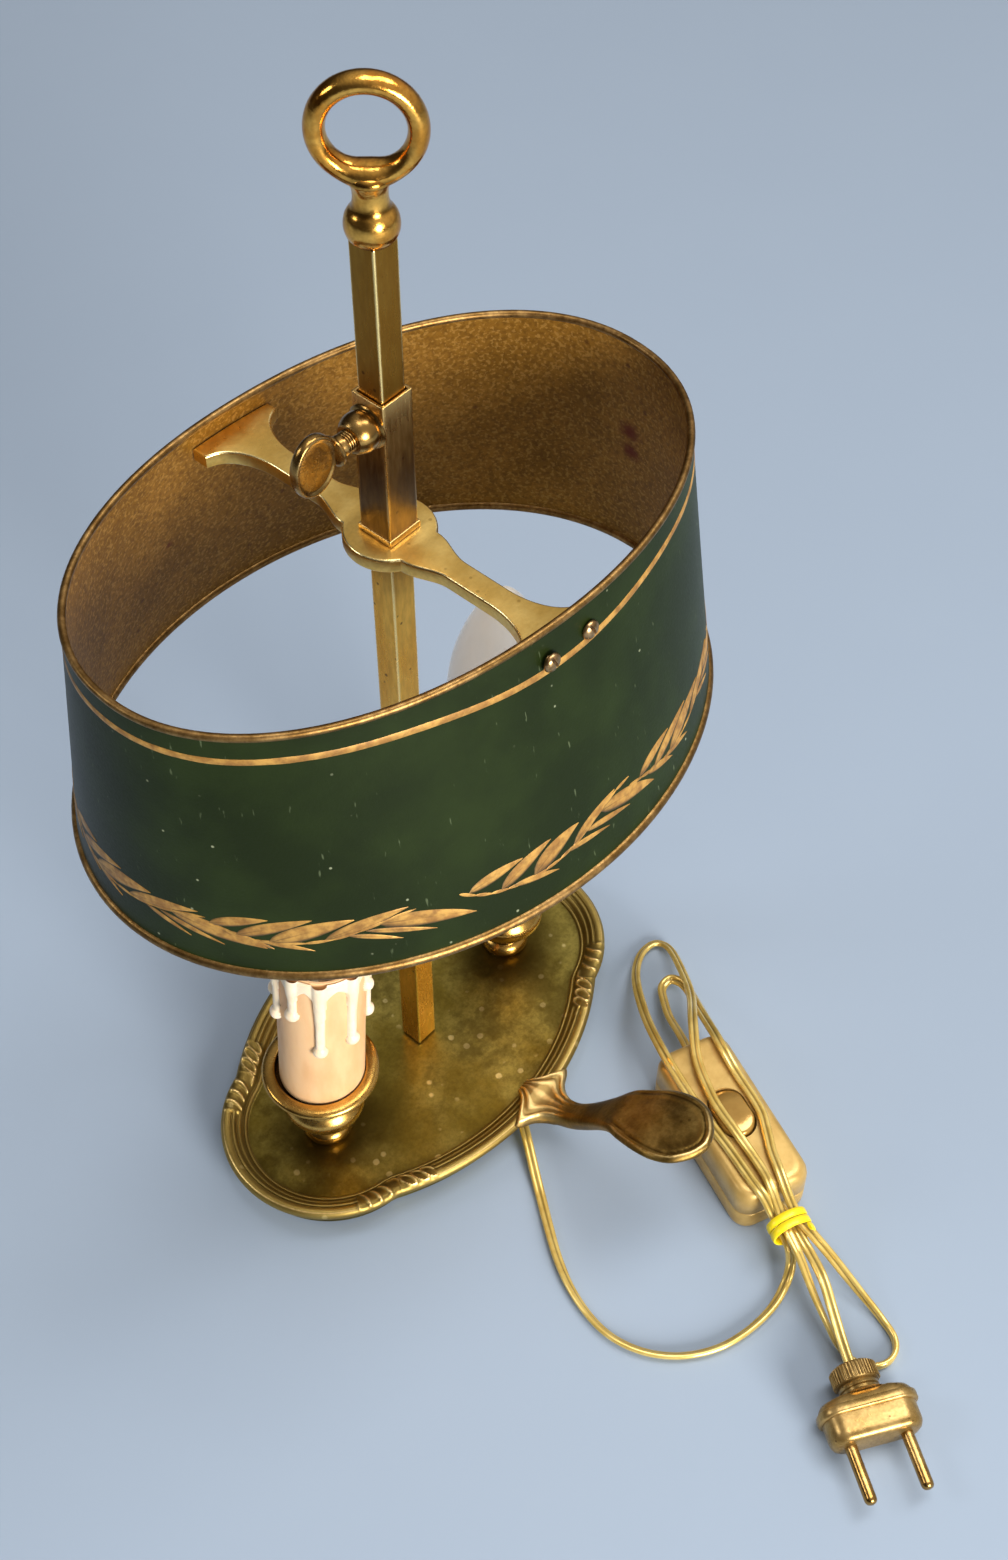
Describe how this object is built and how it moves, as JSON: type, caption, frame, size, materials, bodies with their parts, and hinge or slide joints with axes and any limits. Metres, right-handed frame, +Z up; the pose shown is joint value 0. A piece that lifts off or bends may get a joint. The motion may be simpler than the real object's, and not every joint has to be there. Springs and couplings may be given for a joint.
{
  "type": "bouillotte table lamp",
  "caption": "Brass bouillotte table lamp: oval reeded tray with thumb handle, candle lights, square stem with ring finial, sliding green oval shade with thumbscrew, cord with rocker switch.",
  "frame": {"origin": "middle of the underside of the felt, under the stem", "axes": "+Z up along the stem, +X towards the right candle along the tray, the thumb handle towards -Y"},
  "size_m": [0.2006, 0.3018, 0.3829],
  "materials": {
    "aged_brass": "aged, mottled brown patina, satin",
    "bright_brass": "polished, warm",
    "dark_brass": "dark brown patina, satin",
    "felt": "green felt",
    "black_fibre": "matt dark fibre",
    "ivory_plastic": "ivory, matt",
    "green_lacquer": "bottle green satin lacquer with painted gold line and laurel",
    "gilt_bead": "gilt copper brown, worn",
    "peach_card": "peach wax coated card",
    "ivory_wax": "ivory wax look, satin",
    "cap_metal": "plated, satin",
    "bulb_glass": "clear, candle shaped",
    "filament_metal": "thin wire and glass mount",
    "gold_cord": "gold translucent PVC",
    "yellow_tie": "bright yellow plastic covered wire",
    "gold_plastic": "gold coloured, satin",
    "gold_rocker": "darker gold, glossy",
    "plug_metal": "gold coloured metal with dark specks"
  },
  "bodies": {
    "lamp": {"tray": "aged_brass", "thumb_handle": "dark_brass", "handle_screw": "dark_brass", "base_cover": "aged_brass", "felt_pad": "felt", "cord_bush": "black_fibre", "splice_block": "ivory_plastic", "cover_screw": "aged_brass", "stem_bar": "aged_brass", "stem_washer": "dark_brass", "stem_nut": "dark_brass", "finial": "aged_brass", "nipple_left": "bright_brass", "nipple_right": "bright_brass", "nipple_nuts": "dark_brass", "cup_left": "bright_brass", "cup_right": "bright_brass", "holder_left": "ivory_plastic", "holder_right": "ivory_plastic", "holder_shells": "bright_brass", "centre_contacts": "bright_brass", "candle_sleeve_left": "peach_card", "candle_sleeve_right": "peach_card", "wax_drips_left": "ivory_wax", "wax_drips_right": "ivory_wax", "bulb_cap_left": "cap_metal", "bulb_cap_right": "cap_metal", "bulb_glass_left": "bulb_glass", "bulb_glass_right": "bulb_glass", "filaments": "filament_metal", "wiring_left": "gold_cord", "wiring_right": "gold_cord", "cord_lamp": "gold_cord", "cord_plug": "gold_cord", "cord_tie": "yellow_tie", "switch_base": "gold_plastic", "switch_cover": "gold_plastic", "rocker_pin": "cap_metal", "switch_contacts": "bright_brass", "switch_screws": "cap_metal", "plug_body": "plug_metal", "plug_lid": "plug_metal", "plug_collar": "plug_metal", "plug_pins": "bright_brass", "plug_insulator": "ivory_plastic"},
    "carriage": {"slide_sleeve": "aged_brass", "screw_boss": "aged_brass", "shade_bracket": "bright_brass", "shade_screws": "dark_brass", "shade_band": "green_lacquer", "shade_top_bead": "gilt_bead", "shade_bottom_bead": "gilt_bead"},
    "thumbscrew": {"thumbscrew": "aged_brass"},
    "rocker": {"switch_rocker": "gold_rocker"}
  },
  "joints": [
    {"name": "shade_slide", "type": "slide", "parent": "lamp", "child": "carriage", "axis": [0, 0, 1], "range_m": [-0.12, 0.042]},
    {"name": "thumbscrew_turn", "type": "hinge", "parent": "carriage", "child": "thumbscrew", "pos_m": [0, 0, 0.289], "axis": [-0.9983, 0.0576, 0], "range_deg": [0, 360]},
    {"name": "switch_rock", "type": "hinge", "parent": "lamp", "child": "rocker", "pos_m": [0.034, -0.107, 0.0154], "axis": [-0.8988, 0.4384, 0], "range_deg": [-12, 0]}
  ]
}
